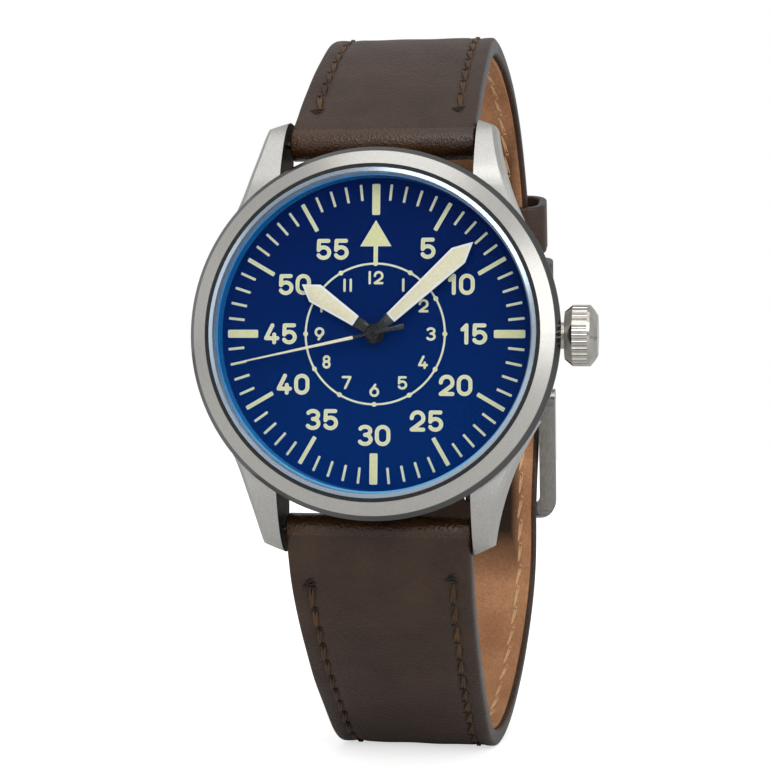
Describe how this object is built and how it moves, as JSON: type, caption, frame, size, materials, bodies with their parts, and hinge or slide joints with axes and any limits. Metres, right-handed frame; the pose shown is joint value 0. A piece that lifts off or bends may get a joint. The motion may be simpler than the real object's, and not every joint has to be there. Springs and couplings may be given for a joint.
{
  "type": "pilot watch",
  "caption": "Pilot wristwatch with a round steel case, navy dial with a minute track and inner hour ring, fluted crown and a brown leather buckle strap.",
  "frame": {"origin": "centre of the case back's flat outer face", "axes": "+Z towards 12 o'clock, +X towards 3 o'clock and the crown, +Y out of the case back, the dial looks along -Y"},
  "size_m": [0.0459, 0.0714, 0.0922],
  "materials": {
    "satin_steel": "brushed and bead blasted",
    "polished_steel": "polished",
    "sapphire": "clear, blue reflex",
    "black_rubber": "matt",
    "navy_lacquer": "satin navy",
    "pale_lume": "matt",
    "white_print": "matt",
    "brass_gold": "grained",
    "ruby": "polished",
    "nickel": "grained",
    "brown_leather": "smooth, waxed",
    "tan_leather": "matt, unlined"
  },
  "bodies": {
    "case": {"case_middle": "satin_steel", "case_back": "satin_steel", "case_back_gasket": "black_rubber", "bezel": "satin_steel", "crystal": "sapphire", "crystal_gasket": "black_rubber", "inner_flange": "navy_lacquer", "dial": "navy_lacquer", "minute_track": "pale_lume", "minute_numerals": "pale_lume", "hour_ring": "white_print", "hour_numerals": "white_print", "main_plate": "nickel", "train_bridge": "nickel", "balance_cock": "nickel", "jewels": "ruby", "bridge_screws": "polished_steel", "holder_screws": "polished_steel", "movement_holder": "nickel", "rotor_post": "nickel", "crown_tube": "polished_steel", "spring_bar_12": "polished_steel", "spring_bar_6": "polished_steel", "strap_12_leather": "brown_leather", "strap_12_lining": "tan_leather", "strap_6_leather": "brown_leather", "strap_6_lining": "tan_leather", "fixed_keeper": "brown_leather", "buckle_bar": "polished_steel"},
    "hours": {"hour_hand": "pale_lume", "hour_wheel": "brass_gold"},
    "minutes": {"minute_hand": "pale_lume", "cannon_pinion": "brass_gold"},
    "seconds": {"second_hand": "pale_lume", "seconds_wheel": "brass_gold"},
    "barrel": {"barrel": "brass_gold"},
    "second_wheel": {"second_wheel": "brass_gold"},
    "third_wheel": {"third_wheel": "brass_gold"},
    "escape_wheel": {"escape_wheel": "nickel"},
    "pallet_fork": {"pallet_fork": "nickel"},
    "balance": {"balance": "brass_gold"},
    "minute_wheel": {"minute_wheel": "brass_gold"},
    "ratchet_wheel": {"ratchet_wheel": "nickel"},
    "crown_wheel": {"crown_wheel": "nickel"},
    "winding_pinion": {"winding_pinion": "nickel"},
    "setting_lever": {"setting_lever": "nickel"},
    "rotor": {"rotor": "nickel"},
    "crown_slide": {"crown_gasket": "black_rubber"},
    "crown": {"crown": "polished_steel"},
    "free_keeper": {"free_keeper": "brown_leather"},
    "buckle_frame": {"buckle_frame": "satin_steel"},
    "buckle_tang": {"buckle_tang": "polished_steel"}
  },
  "joints": [
    {"name": "seconds_run", "type": "hinge", "parent": "case", "child": "seconds", "pos_m": [0, -0.0076, 0], "axis": [0, 1, 0], "continuous": true},
    {"name": "minutes_turn", "type": "hinge", "parent": "case", "child": "minutes", "pos_m": [0, -0.0076, 0], "axis": [0, 1, 0], "continuous": true},
    {"name": "hours_turn", "type": "hinge", "parent": "case", "child": "hours", "pos_m": [0, -0.0076, 0], "axis": [0, 1, 0], "continuous": true},
    {"name": "minute_wheel_turn", "type": "hinge", "parent": "case", "child": "minute_wheel", "pos_m": [-0.00245, -0.0076, 0], "axis": [0, 1, 0], "continuous": true},
    {"name": "third_wheel_turn", "type": "hinge", "parent": "case", "child": "third_wheel", "pos_m": [0.00288, -0.0076, -0.00127], "axis": [0, 1, 0], "continuous": true},
    {"name": "second_wheel_turn", "type": "hinge", "parent": "case", "child": "second_wheel", "pos_m": [0.00542, -0.0076, 0.0006], "axis": [0, 1, 0], "continuous": true},
    {"name": "barrel_turn", "type": "hinge", "parent": "case", "child": "barrel", "pos_m": [0.0052, -0.0076, 0.0059], "axis": [0, 1, 0], "continuous": true},
    {"name": "escape_wheel_turn", "type": "hinge", "parent": "case", "child": "escape_wheel", "pos_m": [-0.00143, -0.0076, -0.00247], "axis": [0, 1, 0], "continuous": true},
    {"name": "pallet_fork_swing", "type": "hinge", "parent": "case", "child": "pallet_fork", "pos_m": [-0.00394, -0.0076, -0.00392], "axis": [0, 1, 0], "range_deg": [-6, 6]},
    {"name": "balance_swing", "type": "hinge", "parent": "case", "child": "balance", "pos_m": [-0.00606, -0.0076, -0.00604], "axis": [0, 1, 0], "range_deg": [-270, 270], "stiffness_Nm_per_rad": 0.0000002},
    {"name": "rotor_turn", "type": "hinge", "parent": "case", "child": "rotor", "pos_m": [0, -0.0076, 0], "axis": [0, 1, 0], "continuous": true},
    {"name": "crown_pull", "type": "slide", "parent": "case", "child": "crown_slide", "axis": [1, 0, 0], "range_m": [0, 0.001]},
    {"name": "crown_turn", "type": "hinge", "parent": "crown_slide", "child": "crown", "pos_m": [0.0212, -0.0049, 0], "axis": [1, 0, 0], "continuous": true},
    {"name": "winding_pinion_turn", "type": "hinge", "parent": "case", "child": "winding_pinion", "pos_m": [0.0212, -0.0049, 0], "axis": [1, 0, 0], "continuous": true},
    {"name": "crown_wheel_turn", "type": "hinge", "parent": "case", "child": "crown_wheel", "pos_m": [0.008, -0.0076, 0.00231], "axis": [0, 1, 0], "continuous": true},
    {"name": "ratchet_wheel_turn", "type": "hinge", "parent": "case", "child": "ratchet_wheel", "pos_m": [0.0052, -0.0076, 0.0059], "axis": [0, 1, 0], "continuous": true},
    {"name": "setting_lever_swing", "type": "hinge", "parent": "case", "child": "setting_lever", "pos_m": [0.0103, -0.0076, -0.0027], "axis": [0, 1, 0], "range_deg": [-0.5, 9]},
    {"name": "free_keeper_slide", "type": "slide", "parent": "case", "child": "free_keeper", "axis": [0, -0.3525, 0.9358], "range_m": [-0.0005, 0.003]},
    {"name": "buckle_swing", "type": "hinge", "parent": "case", "child": "buckle_frame", "pos_m": [0.00362, 0.05431, -0.00548], "axis": [1, 0, 0], "range_deg": [0, 6]},
    {"name": "tang_lift", "type": "hinge", "parent": "buckle_frame", "child": "buckle_tang", "pos_m": [0.00362, 0.05431, -0.00548], "axis": [1, 0, 0], "range_deg": [0, 6]}
  ],
  "couplings": [
    {"joint": "minutes_turn", "follows": "seconds_run", "ratio": 0.016667},
    {"joint": "hours_turn", "follows": "seconds_run", "ratio": 0.0013889},
    {"joint": "minute_wheel_turn", "follows": "seconds_run", "ratio": -0.0055556},
    {"joint": "third_wheel_turn", "follows": "seconds_run", "ratio": -0.17778},
    {"joint": "second_wheel_turn", "follows": "seconds_run", "ratio": 0.02963},
    {"joint": "barrel_turn", "follows": "seconds_run", "ratio": -0.0039506},
    {"joint": "escape_wheel_turn", "follows": "seconds_run", "ratio": -5.625},
    {"joint": "winding_pinion_turn", "follows": "crown_turn", "ratio": 1},
    {"joint": "crown_wheel_turn", "follows": "crown_turn", "ratio": 0.53846},
    {"joint": "ratchet_wheel_turn", "follows": "crown_turn", "ratio": -0.38889},
    {"joint": "setting_lever_swing", "follows": "crown_pull", "rad_per_m": 140}
  ]
}
